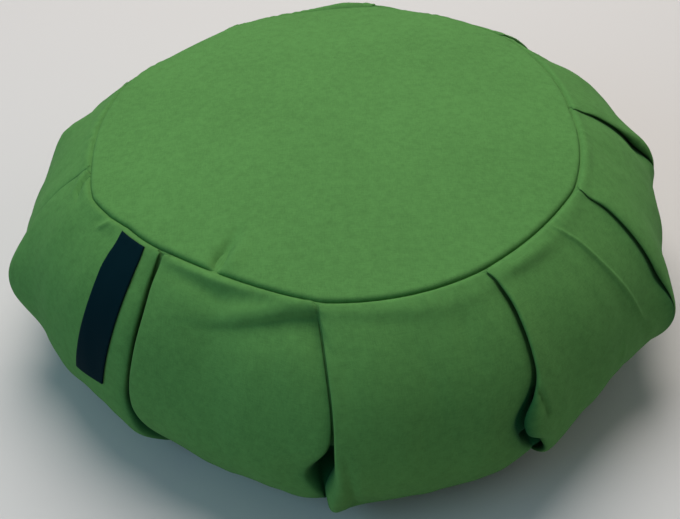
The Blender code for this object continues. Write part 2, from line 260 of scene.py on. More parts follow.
# The ledge that the seam's turnings push out under the top seam, all round: azimuth, height, how
# far its middle is below the seam, its breadth, and how deep the wall draws in under it. That
# hollow is so many breadths further down, and so many breadths wide.
HOLLOW_BELOW = 2.4
HOLLOW_BREADTH = 1.6
LEDGES = (
    (0, 0.5, 4.2, 3.2, 0), (8, 0.3, 4.5, 3, 0), (60, 0.3, 4.5, 3, 0.1), (180, 0.3, 4.5, 3, 0.1),
    (226, 0.2, 4.5, 3, 0.1), (233, 1.1, 4.4, 2.8, 0.6), (241, 1.9, 4.8, 3, 1),
    (250, 0.5, 4, 2.6, 0.3), (262, 0.1, 4, 2.6, 0), (266, 0.6, 6, 4, 0),
    (278, 1.2, 7.2, 4.8, 0), (284, 1.2, 9, 6, 0), (288, 1.2, 10.5, 7, 0), (292, 1, 11, 7, 0),
    (297, 0.7, 9.5, 6, 0), (301, 0.8, 7.5, 4.5, 0), (306, 1.8, 7.6, 4.2, 0.2),
    (312, 1.8, 8.4, 4.8, 0.2), (318, 1, 8.5, 6, 0), (325, 0.6, 7, 5, 0),
    (335, 0.3, 4.2, 2.4, 0.1), (345, 0.6, 4.2, 3.2, 0), (360, 0.5, 4.2, 3.2, 0),
)

# The round seam has a corner where it leaves an even curve: azimuths, and how far out it runs.
SEAM_AZIMUTHS = (0, 183, 190, 199.5, 213, 226.2, 360)
SEAM_SHIFTS = (0, 0, 0.3, 1.9, -2.6, 0, 0)

# Broad hollows and swellings of the band: azimuth, share of the wall, reach in degrees and in
# shares of the wall, and height.
SWELLS = (
    (131, 0.13, 12, 0.13, -6.2), (154, 0.12, 7, 0.11, -3.6), (165.5, 0.22, 4.5, 0.1, 3.6),
    (175, 0.3, 5, 0.1, -0.9), (115, 0.16, 9, 0.14, -2), (88, 0.04, 7, 0.06, 2),
    (52, 0.14, 9, 0.12, -2.5), (26, 0.2, 9, 0.15, 1), (17, 0.31, 5, 0.12, -1.6),
    (243, 0.075, 3.5, 0.03, -0.6), (226.5, 0.68, 4.5, 0.14, 2.8), (271.6, 0.65, 2.6, 0.08, -1.4),
    (246, 0.32, 12, 0.2, -3.2), (261, 0.68, 4, 0.08, 1.5), (194, 0.56, 5, 0.1, -1.4),
    (141, 0.08, 5, 0.06, 1.4), (69, 0.03, 5, 0.05, -1.4), (36, 0.12, 5, 0.08, -1.4),
    (12.5, 0.4, 4, 0.08, -1.2), (337, 0.5, 3, 0.05, 1.2),
)

# Low waves all over the band: height, how many go round it, how many go down it, and a phase.
# They grow from nothing over this share of the wall at each seam.
WAVES = ((0.45, 17, 1.3, 0.6), (0.3, 29, -2.1, 2.2), (0.12, 53, 3.4, 4), (0.05, 83, -5.2, 1.1))
WAVE_GROWS = 0.15

# Small gathers where the stitches pull: height, reach, and the numbers and phases of their waves.
# Those at the base are the top's, this many degrees further round.
GATHER_HEIGHT = 0.09
GATHER_REACH = 8
GATHERS = ((67, 0.4), (97, 2.6), (131, 4.4), (173, 1.3))
BASE_GATHER_TURN = 11

# The pucker of the top: its azimuth at the seam, its slant from the radius, reach, depth and
# width, and the height of the ridge beside it, how many widths away that is and how broad. The
# stitches hold the pucker to the seam share, and it is free at the first distance from them. The
# ridge grows from nothing over the second.
Pucker = namedtuple(
    "Pucker", "azimuth slant reach depth width ridge aside broad seam_share free ridge_free"
)
TOP_PUCKER = Pucker(239.2, 4, 33, 5.2, 3, 1.6, 2.2, 1.5, 0.4, 7, 8)

# The tape runs down the panel before this pleat: the azimuths of its middle at its top end,
# halfway and at its lower end, the shares of the wall at its ends, its length, how far it lies
# over the band, its thickness, and its steps across and along. Its top end is pinched in by this
# share of its width, over this share of its length. Under it the panel starts to sag this far
# before the fold.
TAPE_PLEAT = 6
TAPE_AZIMUTHS = (216.8, 219.6, 217.3)
TAPE_SPAN = (0.017, 0.5)
TAPE_LENGTH = 76
TAPE_LIFT = 0.35
TAPE_THICKNESS = 0.7
TAPE_STEPS = (16, 76)
TAPE_PINCH = 0.14
TAPE_PINCH_LENGTH = 0.3
SAG_STARTS = -30

# The camera: where it stands and looks, its focal length in photo pixels, and its roll.
CAMERA_AT = (0, -0.5415, 0.5032)
CAMERA_LOOKS_AT = (-0.00245, -0.09617, 0.114)
FOCAL_PIXELS = 1330.1
CAMERA_ROLL = 3.06
SENSOR = 36


def smoothstep(share):
    """A ramp that starts and ends gently, from 0 to 1."""
    share = np.clip(share, 0.0, 1.0)
    return share * share * (3 - 2 * share)


def lerp(start, end, share):
    """The value this share of the way from one to the other."""
    return start + (end - start) * share


def bell(distance, width):
    """A smooth hump: 1 in its middle, and next to nothing past two widths."""
    return np.exp(-((distance / width) ** 2))


# ---- the shape of the side band ----


def pleat_row(index):
    """The table's row for a pleat, counted on past the last one."""
    return PLEATS[index % len(PLEATS)]


def smooth_path(places, values, place):
    """A value that runs smoothly through these values at these places."""
    after = int(np.clip(np.searchsorted(places, place, side="right"), 1, len(places) - 1))
    slopes = np.gradient(values, places)
    width = places[after] - places[after - 1]
    t = (place - places[after - 1]) / width
    rest = 1 - t
    start, end = values[after - 1], values[after]
    bent = rest * slopes[after - 1] - t * slopes[after]
    return rest**2 * (1 + 2 * t) * start + t**2 * (1 + 2 * rest) * end + t * rest * width * bent


def fold_azimuth(index, down):
    """The azimuth of a pleat's fold edge, a share `down` of the way to the base seam."""
    pleat = pleat_row(index)
    turns = 360 * (index // len(PLEATS))
    return pleat.azimuth + turns + float(smooth_path(FOLD_ROWS, pleat.path, down))


def along_panel(start, middle, end, share):
    """A value that runs from one pleat to the next and bows to its own value between them."""
    bow = middle - (start + end) / 2
    return lerp(start, end, share) + bow * 4 * share * (1 - share)


def panel_values(azimuth, down):
    """The plain wall's radii at the seam and at the bulge, at these azimuths."""
    around = range(-1, len(PLEATS) + 2)
    folds = np.array([fold_azimuth(index, down) for index in around])
    place = np.clip(np.searchsorted(folds, azimuth, side="right") - 1, 0, len(folds) - 2)
    share = (azimuth - folds[place]) / (folds[place + 1] - folds[place])
    rows = [pleat_row(index) for index in around]
    radii = []
    for name in ("seam", "bulge"):
        at = np.array([getattr(row, name) for row in rows])
        between = np.array([getattr(row, name + "_mid") for row in rows])
        radii.append(along_panel(at[place], between[place], at[place + 1], share))
    radii[0] = radii[0] + np.interp(azimuth % 360, SEAM_AZIMUTHS, SEAM_SHIFTS)
    return radii


def bezier(points, share):
    """Points and unit directions of a cubic curve in radius and height."""
    rest = 1 - share
    point, way = [], []
    for a, b, c, d in zip(*points):
        point.append(rest**3 * a + 3 * rest**2 * share * b + 3 * rest * share**2 * c + share**3 * d)
        way.append(rest**2 * (b - a) + 2 * rest * share * (c - b) + share**2 * (d - c))
    length = np.hypot(*way)
    return point, (way[0] / length, way[1] / length)


def handle_end(radius, height, length, slope):
    """The end of a curve's handle that leaves this place at a slope in degrees above level."""
    angle = math.radians(slope)
    return radius + length * math.cos(angle), height + length * math.sin(angle)


def wall_profile(seam, bulge, down):
    """Radius, height and outward direction of the plain wall, before its pleats."""
    if down <= BULGE_ROW:
        curve = (
            (seam, SEAM_HEIGHT),
            handle_end(seam, SEAM_HEIGHT, TOP_HANDLES[0], -TOP_SLOPE),
            (bulge, BULGE_HEIGHT + TOP_HANDLES[1]),
            (bulge, BULGE_HEIGHT),
        )
        share = down / BULGE_ROW
    else:
        base = seam * BASE_SEAM_SHARE
        curve = (
            (bulge, BULGE_HEIGHT),
            (bulge, BULGE_HEIGHT - BASE_HANDLES[0]),
            handle_end(base, BASE_LIP_HEIGHT, BASE_HANDLES[1], BASE_SLOPE),
            (base, BASE_LIP_HEIGHT),
        )
        share = (down - BULGE_ROW) / (1 - BULGE_ROW)
    (radius, height), way = bezier(curve, share)
    return radius, height, (-way[1], way[0])


def degrees_past(azimuth, mark):
    """How many degrees these azimuths are past a mark, at most half a turn either way."""
    return (azimuth - mark + 180) % 360 - 180


def creased(azimuth, down, crease):
    """How far one crease moves the wall out at these places."""
    mark = crease.path[0][0]
    across = degrees_past(azimuth, mark) * MM_PER_DEGREE
    below = down * WALL_LENGTH
    corners = [((a - mark) * MM_PER_DEGREE, d * WALL_LENGTH) for a, d in crease.path]
    lengths = [math.dist(*ends) for ends in zip(corners, corners[1:])]
    nearest = np.full_like(across, np.inf)
    side, along, beyond = np.zeros((3, *across.shape))
    travelled = 0
    for (x0, y0), (x1, y1), length in zip(corners, corners[1:], lengths):
        way = ((x1 - x0) / length, (y1 - y0) / length)
        reach = (across - x0) * way[0] + (below - y0) * way[1]
        run = np.clip(reach, 0, length)
        off_x, off_y = across - x0 - run * way[0], below - y0 - run * way[1]
        distance = np.hypot(off_x, off_y)
        closer = distance < nearest
        nearest = np.where(closer, distance, nearest)
        side = np.where(closer, np.sign(way[0] * off_y - way[1] * off_x) * distance, side)
        along = np.where(closer, (travelled + run) / sum(lengths), along)
        beyond = np.where(closer, reach - run, beyond)
        travelled += length
    fading = smoothstep(along / crease.fade_in + CREASE_START)
    fading *= smoothstep((1 - along) / crease.fade_out)
    fading *= np.where((along <= 0) | (along >= 1), bell(beyond, CREASE_END), 1)
    groove = crease.depth * bell(side, np.where(side > 0, crease.width, crease.far))
    roll = crease.roll * bell(side - crease.aside, crease.breadth)
    return fading * (roll - groove)


def gathered(azimuth, distance):
    """The small gathers of cloth at this distance from a seam."""
    waves = sum(np.sin(np.radians(azimuth) * number + phase) for number, phase in GATHERS)
    return GATHER_HEIGHT * waves * bell(distance - GATHER_REACH / 2, GATHER_REACH / 2)


def ledged(azimuth, distance):
    """The ledge under the top seam, at this distance from it."""
    table = np.array(LEDGES)
    rows = [np.interp(azimuth % 360, table[:, 0], column) for column in table[:, 1:].T]
    height, below, breadth, hollow = rows
    ledge = height * bell(distance - below, breadth)
    under = distance - below - HOLLOW_BELOW * breadth
    return ledge - hollow * bell(under, HOLLOW_BREADTH * breadth)


def relief(azimuth, down):
    """How far the fine forms of the cloth move the wall out at these places."""
    moved = ledged(azimuth, down * WALL_LENGTH)
    for crease in CREASES:
        moved += creased(azimuth, down, crease)
    # The stitches hold the swellings back at the seam.
    held = smoothstep(down * WALL_LENGTH / SEAM_ROLL)
    for middle, share, wide, tall, height in SWELLS:
        past = degrees_past(azimuth, middle)
        moved += held * height * bell(past, wide) * bell(down - share, tall)
    free = smoothstep(down / WAVE_GROWS) * smoothstep((1 - down) / WAVE_GROWS)
    for height, around, rows, phase in WAVES:
        turned = np.radians(azimuth) * around + rows * math.pi * down + phase
        moved += free * height * np.sin(turned)
    moved += gathered(azimuth, down * WALL_LENGTH)
    moved += gathered(azimuth + BASE_GATHER_TURN, (1 - down) * WALL_LENGTH)
    return moved


def seam_tuck(distance, roll=SEAM_ROLL):
    """How far the cloth turns in, this far from a seam."""
    into = np.clip(1 - distance / roll, 0, 1)
    return roll * (1 - np.sqrt(1 - into**2))


def wall_points(azimuth, down, rise):
    """Points of the wall at these azimuths, `rise` outside the plain wall."""
    seam, bulge = panel_values(azimuth, down)
    radius, height, outward = wall_profile(seam, bulge, down)
    rise = rise + relief(azimuth, down)
    rise = rise - seam_tuck(down * WALL_LENGTH) - seam_tuck((1 - down) * WALL_LENGTH)
    radius, height = radius + rise * outward[0], height + rise * outward[1]
    angle = np.radians(azimuth)
    return np.stack([radius * np.cos(angle), radius * np.sin(angle), height], axis=-1)


def wall_radius(azimuth, down):
    """The plain wall's radius at one place."""
    seam, bulge = panel_values(np.array([azimuth]), down)
    return float(wall_profile(seam, bulge, down)[0][0])


def pleat_section(index, down):
    """One pleat in section: pairs of a distance past its fold edge and a rise, walking around
    the cushion: over the rim, in along the slot's floor, back under its roof, round the fold and
    out along the panel. Then the painted light and shade on the cloth at each of them."""
    index = index % len(FOLDS)
    fold = FOLDS[index]
    pocket = POCKETS.get(index, Pocket())
    opened = smoothstep((down - fold.open_from) / (fold.open_full - fold.open_from))
    start, end = CLOSING.get(index, STAYS_OPEN)
    closed = smoothstep((down - start) / (end - start))
    parting = bell(down - pocket.at, pocket.above if down < pocket.at else pocket.below)
    hollow = bell(down - pocket.deep_at, pocket.deep_spread)
    leaning = bell(down - pocket.flank_at, pocket.flank_spread)
    lift = fold.lift * bell(down - fold.lift_at, fold.lift_spread)
    top = fold.stand + lift
    shallow = lerp(fold.floor, FLANK_FLOOR, leaning * (pocket.flank > 0))
    floor = lerp(-shallow - pocket.depth * hollow, top - CLOSED_STEP, closed)
    roof = floor + lerp(fold.gap + pocket.mouth * hollow, CLOSED_STEP / 2, closed)
    rim = -lerp(fold.draw, fold.open_draw, opened) - pocket.part * parting
    flank = min(pocket.flank * leaning, max(0, -rim - FLANK_CLEARANCE))
    radius = lerp(lerp(FOLD_RADIUS, fold.roll, opened), FOLD_RADIUS, closed)
    sag = lerp(lerp(fold.sag, fold.open_sag, opened), -top, closed)
    turn = lerp(*RIM_TURN, opened) + pocket.turn * parting
    drop = -floor - sag
    points = [(rim - turn - distance, -sag * share) for distance, share in RIM_STEPS]
    points.append((rim - turn, -sag - min(SHOULDER_SHARE * drop, SHOULDER_MOST)))
    points.append((rim, -sag - FRONT_SHARE * drop))
    foot = rim + RIM_FOOT * turn - fold.back * (1 - closed)
    depth = lerp(max(SLOT_DEPTH, radius + SLOT_PAST_ROLL), CLOSED_DEPTH, closed)
    floor_end = floor - lerp(SLOT_SLOPE, CLOSED_SLOPE, closed) * depth
    roof_end = floor_end + SLOT_END * (1 - CLOSED_END * closed)
    points += [(lerp(foot, depth, share), floor) for share in (0, *FLOOR_STEPS)]
    points += [(depth, floor_end), (depth, roof_end)]
    points.append((lerp(depth, radius, ROOF_CORNER[0]), lerp(roof_end, roof, ROOF_CORNER[1])))
    middle, half = (top + roof) / 2, (top - roof) / 2
    for angle in FOLD_ANGLES:
        turned = math.radians(angle)
        lean = math.sqrt((1 - math.sin(turned)) / 2)
        across = radius * (1 + math.cos(turned)) - flank * lean
        bulge = FLANK_BULGE * flank * abs(math.cos(turned))
        points.append((across, middle + half * math.sin(turned) + bulge))
    for step in RISE_STEPS:
        stand = fold.stand * (1 - smoothstep(step / STAND_RUN))
        points.append((radius + step, stand + lift * (1 - smoothstep(step / fold.run))))
    # Painted shade over the rim, inside the slot and under the fold's edge; a painted highlight
    # over that edge.
    inside = len(points) - len(RIM_PAINTED_SHADE) - len(FOLD_PAINTED_LIGHT) - len(RISE_STEPS)
    painted_light = RIM_PAINTED_SHADE + (-1,) * inside + FOLD_PAINTED_LIGHT + (0,) * len(RISE_STEPS)
    gaping = max(opened * (fold.back > 0), hollow)
    return points, np.array(painted_light) * lerp(SHUT_SHADE, 1, gaping)


def band_section(down):
    """The corners of the band in section at one row: azimuths, rises, and the painted light and
    shade on the cloth there. Where the stitches press a pleat flat, the points of its slot lie
    side by side."""
    free = smoothstep(down / TOP_FLATTENED) * smoothstep((1 - down) / BASE_FLATTENED)
    stand = free * lerp(SEAM_STAND, 1, smoothstep(down / STAND_UP))
    pleats = []
    for index in range(len(PLEATS) + 1):
        fold = fold_azimuth(index, down)
        per_mm = math.degrees(1 / wall_radius(fold, down))
        section, painted_light = pleat_section(index, down)
        painted_light = painted_light * free * lerp(SEAM_SHADE, 1, smoothstep(down / SHADE_GROWS))
        slot = range(len(RIM_STEPS), len(section) - len(RISE_STEPS))
        middle = (slot[0] + slot[-1]) / 2
        pleat = []
        for place, (distance, rise) in enumerate(section):
            flat = (place - middle) * SEAM_PITCH if place in slot else distance
            azimuth = fold + lerp(flat, distance, free) * per_mm
            pleat.append((azimuth, stand * rise, painted_light[place]))
        pleats.append(np.array(pleat))
    corners = []
    shares = [step / PANEL_STEPS for step in range(1, PANEL_STEPS)]
    for pleat, following in zip(pleats, pleats[1:]):
        corners += [*pleat, *(lerp(pleat[-1], following[0], share) for share in shares)]
    return np.array(corners)


def rounded(corners):
    """The closed, even curve that a section's corners pull into shape."""
    points = np.concatenate([corners[-1:] - FULL_TURN, corners, corners[:2] + FULL_TURN])
    curve = []
    for step in range(FINENESS):
        t = step / FINENESS
        weights = ((1 - t) ** 3, 3 * t**3 - 6 * t**2 + 4, 3 * t * (1 + t - t**2) + 1, t**3)
        pulls = [w / 6 * points[k : len(points) - 3 + k] for k, w in enumerate(weights)]
        curve.append(sum(pulls))
    return np.stack(curve, axis=1).reshape(-1, corners.shape[1])


def wall_rows():
    """Shares of the wall, closer together towards the two seams."""
    even = np.linspace(0, 1, WALL_ROWS + 1)
    return lerp(even, smoothstep(even), ROWS_GATHER)


def panel_height(share):
    """Height of the top panel's outer face, at a share of its radius."""
    return SEAM_HEIGHT + CROWN * (1 - share**2)


# ---- making meshes ----


def grid_object(name, points, uvs, painted_light=None, closed=True):
    """A mesh from rows of points, made as a grid whose first and last columns are then joined."""
    rows, columns = points.shape[:2]
    mesh = bmesh.new()
    mesh.loops.layers.uv.new("UVMap")
    bmesh.ops.create_grid(mesh, x_segments=columns - 1, y_segments=rows - 1, size=1)
    piece = finished(name, mesh)
    data = piece.data
    corners = np.zeros(len(data.loops), dtype=np.int32)
    data.loops.foreach_get("vertex_index", corners)
    data.vertices.foreach_set("co", (points * MM).ravel())
    data.uv_layers["UVMap"].uv.foreach_set("vector", (uvs * MM).reshape(-1, 2)[corners].ravel())
    # The painted light and shade of the cloth, kept on the mesh for its material.
    if painted_light is not None:
        shade = data.attributes.new("painted_light", "FLOAT", "POINT")
        shade.data.foreach_set("value", painted_light.ravel())
    data.update()
    if closed:
        mesh = bmesh.new()
        mesh.from_mesh(data)
        places = list(mesh.verts)
        joined = dict(zip(places[columns - 1 :: columns], places[::columns]))
        bmesh.ops.weld_verts(mesh, targetmap=joined)
        bmesh.ops.remove_doubles(mesh, verts=mesh.verts, dist=1e-7)
        bmesh.ops.recalc_face_normals(mesh, faces=mesh.faces)
        mesh.to_mesh(data)
        mesh.free()
    return piece


def placed(name, data):
    """A new object in the scene."""
    thing = bpy.data.objects.new(name, data)
    bpy.context.scene.collection.objects.link(thing)
    return thing


def finished(name, mesh):
    """Turns a bmesh into a smooth object in the scene."""
    data = bpy.data.meshes.new(name)
    mesh.to_mesh(data)
    mesh.free()
    data.shade_smooth()
    return placed(name, data)


def dress(piece, material, node):
    """Gives a piece its material and its place in the frame."""
    piece.data.materials.append(material)
    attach(piece, "root")
    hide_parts(node)


def thicken(piece, thickness, side=-1):
    """Gives a cloth its thickness, on its inner side or, with 1, on its outer side."""
    solid = piece.modifiers.new("cloth thickness", "SOLIDIFY")
    solid.thickness = thickness * MM
    solid.offset = side


def strip_uvs(wall):
    """Where the band's points lie on its flat strip. The weave starts anew at the inner end of
    each slot, where nobody sees it."""
    columns = wall.shape[1]
    period = (columns - 1) // len(PLEATS)
    inner_end = (len(RIM_STEPS) + POINTS_TO_INNER_END) * FINENESS
    across = np.zeros(wall.shape[:2])
    for index in range(len(PLEATS) + 1):
        left = max(0, (index - 1) * period + inner_end)
        right = min(columns - 1, index * period + inner_end)
        middle = (right - left) // 2 if right - left > period // 2 else 0
        steps = np.linalg.norm(np.diff(wall[:, left : right + 1], axis=1), axis=2)
        along = np.pad(np.cumsum(steps, axis=1), ((0, 0), (1, 0)))
        across[:, left : right + 1] = along - along[:, middle : middle + 1] + index * PLEAT_PITCH
    down = np.pad(np.cumsum(np.linalg.norm(np.diff(wall, axis=0), axis=2).mean(1)), (1, 0))
    return np.stack([across, np.repeat(-down[:, None], columns, axis=1)], axis=-1)


def flat_ring(ring, share, height):
    """A level copy of a ring of points, drawn in to a share of its size."""
    return ring * (share, share, 0) + (0, 0, height)


def make_band(cotton):
    """The pleated side band, closed at the top and the base by the filling."""
    rings, painted_light = [], []
    for down in wall_rows().tolist():
        ring = rounded(band_section(down))
        ring = np.concatenate([ring, ring[:1] + FULL_TURN])
        rings.append(wall_points(ring[:, 0], down, ring[:, 1]))
        painted_light.append(ring[:, 2])
    wall = np.array(rings)
    cap = [flat_ring(wall[0], share, panel_height(share) - UNDER_GAP) for share in TOP_RINGS]
    bed = [flat_ring(wall[-1], share, UNDER_GAP) for share in BASE_RINGS]
    ends = (len(cap), len(bed))
    uvs = np.pad(strip_uvs(wall), (ends, (0, 0), (0, 0)), mode="edge")
    painted_light = np.pad(painted_light, (ends, (0, 0)))
    band = grid_object("side_band", np.concatenate([cap, wall, bed]), uvs, painted_light)
    dress(band, cotton, "cushion_body")


def square_to_disc(x, y):
    """Maps a square grid onto a disc: an azimuth in radians and a share of the radius."""
    wide = np.abs(x) >= np.abs(y)
    share = np.where(wide, np.abs(x), np.abs(y))
    safe_x = np.where(x == 0, 1, x)
    safe_y = np.where(y == 0, 1, y)
    turn = np.where(wide, y / safe_x * math.pi / 4, math.pi / 2 - x / safe_y * math.pi / 4)
    flipped = np.where(wide, x < 0, y < 0)
    return turn + math.pi * flipped, share * (1 + CELLS_GATHER * (1 - share))


def panel_grid(down):
    """The points of a round panel seen from above, their shares of the radius, their distances
    from the seam, and the panel's greatest radius."""
    line = np.linspace(-1, 1, PANEL_CELLS + 1)
    turn, share = square_to_disc(*np.meshgrid(line, line))
    azimuth = np.degrees(turn) % 360
    seam, bulge = panel_values(azimuth, down)
    edge = wall_profile(seam, bulge, down)[0]
    edge = edge - np.interp(azimuth, PANEL_GAP_AZIMUTHS, PANEL_GAPS)
    angle, radius = np.radians(azimuth), share * edge
    x, y = radius * np.cos(angle), radius * np.sin(angle)
    return x, y, share, (1 - share) * edge, float(radius.max())


def puckered(x, y, height, distance, pucker):
    """The top's height with a pucker and the ridge beside it, this far from the seam."""
    at = math.radians(pucker.azimuth)
    start = wall_radius(pucker.azimuth, 0) * np.array([math.cos(at), math.sin(at)])
    way = at + math.pi + math.radians(pucker.slant)
    along = (x - start[0]) * math.cos(way) + (y - start[1]) * math.sin(way)
    across = (y - start[1]) * math.cos(way) - (x - start[0]) * math.sin(way)
    fading = smoothstep(1 - along / pucker.reach)
    sunk = lerp(pucker.seam_share, 1, smoothstep(distance / pucker.free))
    sunk *= bell(across, pucker.width)
    beside = bell(across + pucker.aside * pucker.width, pucker.broad * pucker.width)
    beside *= smoothstep(distance / pucker.ridge_free)
    return height - pucker.depth * fading * sunk + pucker.ridge * fading * beside


def sew_round_panel(name, node, points, radius, cotton):
    panel = grid_object(name, points, points[..., :2], closed=False)
    thicken(panel, PANEL_THICKNESS)
    dress(panel, cotton, node)
    across = 2 * MM * radius
    math.pi / 4 * across**2


def make_top_panel(cotton):
    """The round top: crowned cloth that turns down into the seam, puckered where it is pulled."""
    x, y, share, distance, radius = panel_grid(0)
    height = panel_height(share) - seam_tuck(distance, PANEL_ROLL)
    points = np.stack([x, y, puckered(x, y, height, distance, TOP_PUCKER)], axis=-1)
    sew_round_panel("top_cloth", "top_panel", points, radius, cotton)


def make_base_panel(cotton):
    """The round base, flat where the cushion rests on it."""
    x, y, _, distance, radius = panel_grid(1)
    height = seam_tuck(distance, PANEL_ROLL) * BASE_ROLL_SHARE
    points = np.stack([x, y, height], axis=-1)[::-1]
    sew_round_panel("base_cloth", "base_panel", points, radius, cotton)


def make_tape(navy, settings):
    """The plain tape sewn down the wall beside one pleat."""
    columns, rows = TAPE_STEPS
    width = settings.width / MM
    grid = []
    for row in range(rows + 1):
        share = row / rows
        down = lerp(*TAPE_SPAN, share)
        middle = along_panel(*TAPE_AZIMUTHS, share)
        per_mm = math.degrees(1 / wall_radius(middle, down))
        pinch = TAPE_PINCH * (1 - smoothstep(share / TAPE_PINCH_LENGTH))
        azimuth = middle + np.linspace(pinch - 0.5, 0.5, columns + 1) * width * per_mm
        past_fold = (azimuth - fold_azimuth(TAPE_PLEAT, down)) / per_mm
        sag = pleat_section(TAPE_PLEAT, down)[0][: len(RIM_STEPS)]
        sagged = np.interp(past_fold, *zip((SAG_STARTS, 0), *sag))
        grid.append(wall_points(azimuth, down, TAPE_LIFT + sagged))
    across = np.linspace(-width / 2, width / 2, columns + 1)
    down_mm = np.linspace(0, TAPE_LENGTH, rows + 1)
    uvs = np.stack(np.meshgrid(across, -down_mm), axis=-1)
    tape = grid_object("side_ribbon", np.array(grid)[::-1], uvs[::-1], closed=False)
    thicken(tape, TAPE_THICKNESS, 1)
    dress(tape, navy, "side_tape")


# ---- materials ----

# The shader's even values for each finish, and how strong and deep its bump is in metres.
Finish = namedtuple("Finish", "roughness sheen specular bump depth")
COTTON_FINISH = Finish(0.92, 0.02, 0.04, 0.45, 0.00025)
TAPE_FINISH = Finish(0.6, 0, 0.01, 0.4, 0.0001)
FLOOR_FINISH = Finish(0.9, 0, 0.04, 0, 0)

# Scale and detail of the cotton's patterns: the clouds and the tints of its dye and its fluff. The
# slubs of its yarns are this many to a metre across the yarn and along it.
CLOUD = (260, 4)
TINT = (22, 3)
FLUFF = (620, 4)
SLUBS = (1400, 350)

# Yarns pass over each other in steps of three, and the warp is on top up to the second value.
TWILL_STEPS = 3
WARP_ON_TOP = 1.5

# How much the slubs, clouds, tints and weave lighten the dye, its darkest and palest shades, and
# how far the weave, the slubs and the fluff stand up.
COTTON_SHADING = (1.2, 0.9, 0.5, 0.16)
COTTON_SHADES = (0.8, 1.2)
COTTON_RELIEF = (0.5, 0.6, 0.9)

# A painted highlight on the upper side of a fold's edge pales the dye towards the first colour, and
# painted shade inside a slot and over its rim darkens it towards the second.
EDGE_HIGHLIGHT, EDGE_HIGHLIGHT_COLOUR = 0.12, (0.16, 0.3, 0.13, 1)
SLOT_SHADE, SLOT_SHADE_COLOUR = 0.92, (0.0005, 0.065, 0.024, 1)

# The tape's warp threads for each of its ribs, and how much the ribs and the threads lighten it,
# its darkest and palest shades, and how far the two stand up.
THREADS_PER_RIB = 1.7
TAPE_SHADING = (0.6, 0.4)
TAPE_SHADES = (0.75, 1.3)
TAPE_RELIEF = (1, 0.5)


class Value:
    """A socket of a material's nodes, on which Python's operators add Math nodes."""

    def __init__(self, tree, socket=None):
        self.tree = tree
        self.socket = socket

    def add(self, kind, settings=None, inputs=None, output=0):
        """Adds a node of this kind, with its settings first and then its inputs."""
        node = self.tree.nodes.new(kind)
        for name, value in (settings or {}).items():
            setattr(node, name, value)
        for name, value in (inputs or {}).items():
            if isinstance(value, Value):
                self.tree.links.new(value.socket, node.inputs[name])
            else:
                node.inputs[name].default_value = value
        return Value(self.tree, node.outputs[output])

    def math(self, operation, *values):
        """A Math node on these values."""
        return self.add("ShaderNodeMath", {"operation": operation}, dict(enumerate(values)))

    def __add__(self, other):
        return self.math("ADD", self, other)

    def __sub__(self, other):
        return self.math("SUBTRACT", self, other)

    def __rsub__(self, other):
        return self.math("SUBTRACT", other, self)

    def __mul__(self, other):
        return self.math("MULTIPLY", self, other)

    def __truediv__(self, other):
        return self.math("DIVIDE", self, other)

    def __pow__(self, other):
        return self.math("POWER", self, other)

    def __mod__(self, other):
        return self.math("FLOORED_MODULO", self, other)

    __radd__ = __add__
    __rmul__ = __mul__

    def mix(self, first, second):
        """A colour between two others, by this value."""
        settings = {"data_type": "RGBA"}
        return self.add("ShaderNodeMix", settings, {0: self, 6: first, 7: second}, output=2)

    def noise(self, vector, scale=1, detail=2):
        """A soft random pattern."""
        inputs = {"Vector": vector, "Scale": scale, "Detail": detail}
        return self.add("ShaderNodeTexNoise", None, inputs)

    def cloth_place(self):
        """How far a point is across its flat cloth and along it, in metres."""
        uv = self.add("ShaderNodeUVMap", {"uv_map": "UVMap"})
        node = self.add("ShaderNodeSeparateXYZ", None, {0: uv}).socket.node
        return Value(self.tree, node.outputs[0]), Value(self.tree, node.outputs[1])


def weighed(patterns, weights):
    """The sum of some patterns, each times its weight."""
    first, *others = (pattern * weight for pattern, weight in zip(patterns, weights))
    return sum(others, first)


def shades(colour, strengths):
    """A colour made darker or paler by each of these strengths."""
    return [[channel * strength for channel in colour] + [1] for strength in strengths]


def new_material(name, finish):
    """A material with its shader's even values set, and a Value to grow its nodes from."""
    material = bpy.data.materials.new(name)
    material.use_nodes = True
    shader = material.node_tree.nodes["Principled BSDF"]
    shader.inputs["Roughness"].default_value = finish.roughness
    shader.inputs["Specular IOR Level"].default_value = finish.specular
    shader.inputs["Sheen Weight"].default_value = finish.sheen
    return material, shader, Value(material.node_tree)


def clothe(shader, colour, height, finish):
    """Links a cloth's colour and its relief to its shader."""
    inputs = {"Strength": finish.bump, "Distance": finish.depth, "Height": height}
    bump = height.add("ShaderNodeBump", None, inputs)
    for name, value in (("Base Color", colour), ("Normal", bump)):
        value.tree.links.new(value.socket, shader.inputs[name])


